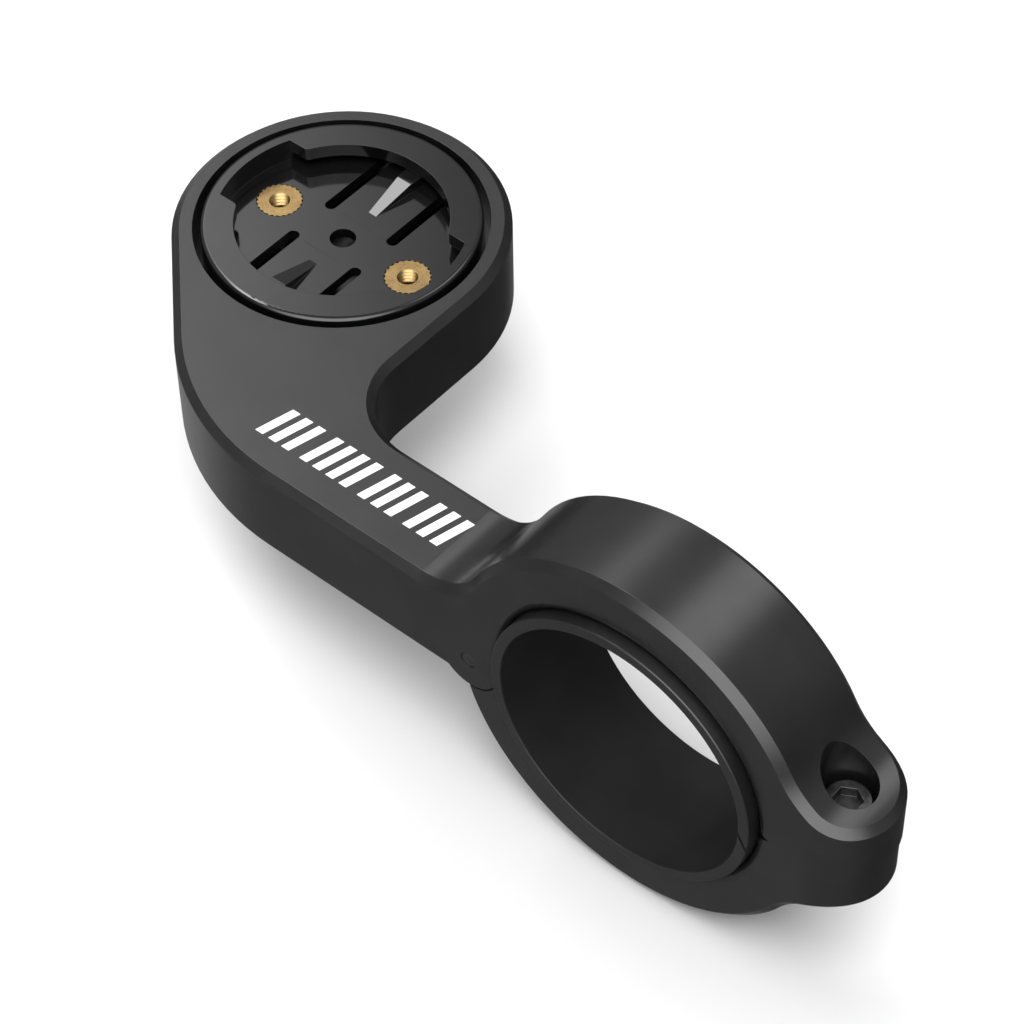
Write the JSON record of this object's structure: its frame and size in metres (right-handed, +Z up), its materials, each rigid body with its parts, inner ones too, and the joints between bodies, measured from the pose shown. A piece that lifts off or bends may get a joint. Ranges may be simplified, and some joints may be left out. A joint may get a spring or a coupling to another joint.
{
  "type": "handlebar mount",
  "caption": "Out-front handlebar mount for a cycling computer: hinged bar clamp with a bolt lug, offset arm and round quarter-turn socket with sprung detents and brass threaded inserts.",
  "frame": {"origin": "centre of the handlebar bore, at the middle of the clamp's width", "axes": "+X along the handlebar towards the side the head is offset to, +Y forwards from the clamp to the head, +Z up out of the socket"},
  "size_m": [0.0567, 0.1212, 0.047],
  "materials": {
    "body_plastic": "fine matte grain, moulded",
    "socket_plastic": "satin, moulded",
    "shim_plastic": "smooth satin, moulded",
    "bolt_steel": "black oxide, slightly worn",
    "pin_steel": "plain turned steel",
    "insert_brass": "turned brass"
  },
  "bodies": {
    "mount": {"arm_body": "body_plastic", "bar_shim": "shim_plastic", "hinge_pin": "bolt_steel", "socket_insert": "socket_plastic", "brass_insert_rear": "insert_brass", "brass_insert_front": "insert_brass", "socket_screw_rear": "bolt_steel", "socket_screw_front": "bolt_steel"},
    "lower_jaw": {"lower_clamp": "body_plastic", "clamp_nut": "pin_steel"},
    "washer": {"bolt_washer": "bolt_steel"},
    "bolt": {"clamp_bolt": "bolt_steel"},
    "tongue_left": {"detent_tongue_left": "socket_plastic"},
    "tongue_right": {"detent_tongue_right": "socket_plastic"}
  },
  "joints": [
    {"name": "clamp_open", "type": "hinge", "parent": "mount", "child": "lower_jaw", "pos_m": [0, 0.02157, -0.0029], "axis": [1, 0, 0], "range_deg": [0, 50]},
    {"name": "bolt_lift", "type": "slide", "parent": "mount", "child": "washer", "axis": [0, 0, 1], "range_m": [0, 0.0068]},
    {"name": "bolt_turn", "type": "hinge", "parent": "washer", "child": "bolt", "pos_m": [0, -0.0239, 0], "axis": [0, 0, 1], "range_deg": [0, 4896]},
    {"name": "tongue_left_flex", "type": "hinge", "parent": "mount", "child": "tongue_left", "pos_m": [0.0257, 0.0714, 0.00175], "axis": [0, -1, 0], "range_deg": [0, 6], "stiffness_Nm_per_rad": 0.004},
    {"name": "tongue_right_flex", "type": "hinge", "parent": "mount", "child": "tongue_right", "pos_m": [0.0321, 0.0714, 0.00175], "axis": [0, 1, 0], "range_deg": [0, 6], "stiffness_Nm_per_rad": 0.004}
  ],
  "couplings": [
    {"joint": "bolt_lift", "follows": "clamp_open", "m_per_rad": 0.00779},
    {"joint": "bolt_turn", "follows": "clamp_open", "ratio": 97.9}
  ]
}
